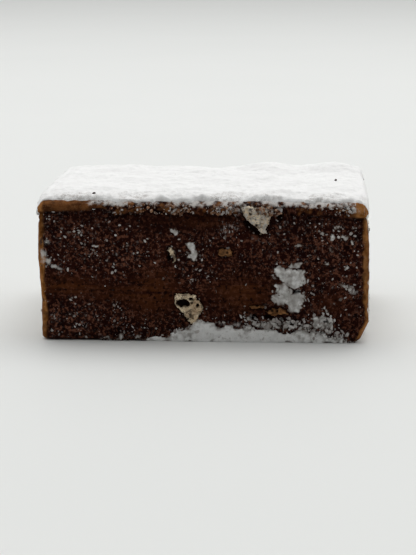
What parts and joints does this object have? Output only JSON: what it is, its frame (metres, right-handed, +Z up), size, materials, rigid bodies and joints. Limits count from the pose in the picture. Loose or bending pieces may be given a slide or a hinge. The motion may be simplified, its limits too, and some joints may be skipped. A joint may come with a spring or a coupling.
{
  "type": "chocolate meltaway",
  "caption": "Square-cut block of soft chocolate with chopped peanut in it and a thick, lumpy coat of powdered sugar on top; a sweet eaten by hand.",
  "frame": {"origin": "middle of the flat base, under the middle of the outline", "axes": "+X along the wide front face, to the right seen from the front; the front face looks along -Y; +Z up"},
  "size_m": [0.0388, 0.0306, 0.0176],
  "materials": {
    "chocolate": null,
    "sugar": null,
    "nut": null
  },
  "bodies": {
    "root": {"meltaway": "chocolate"}
  },
  "joints": []
}
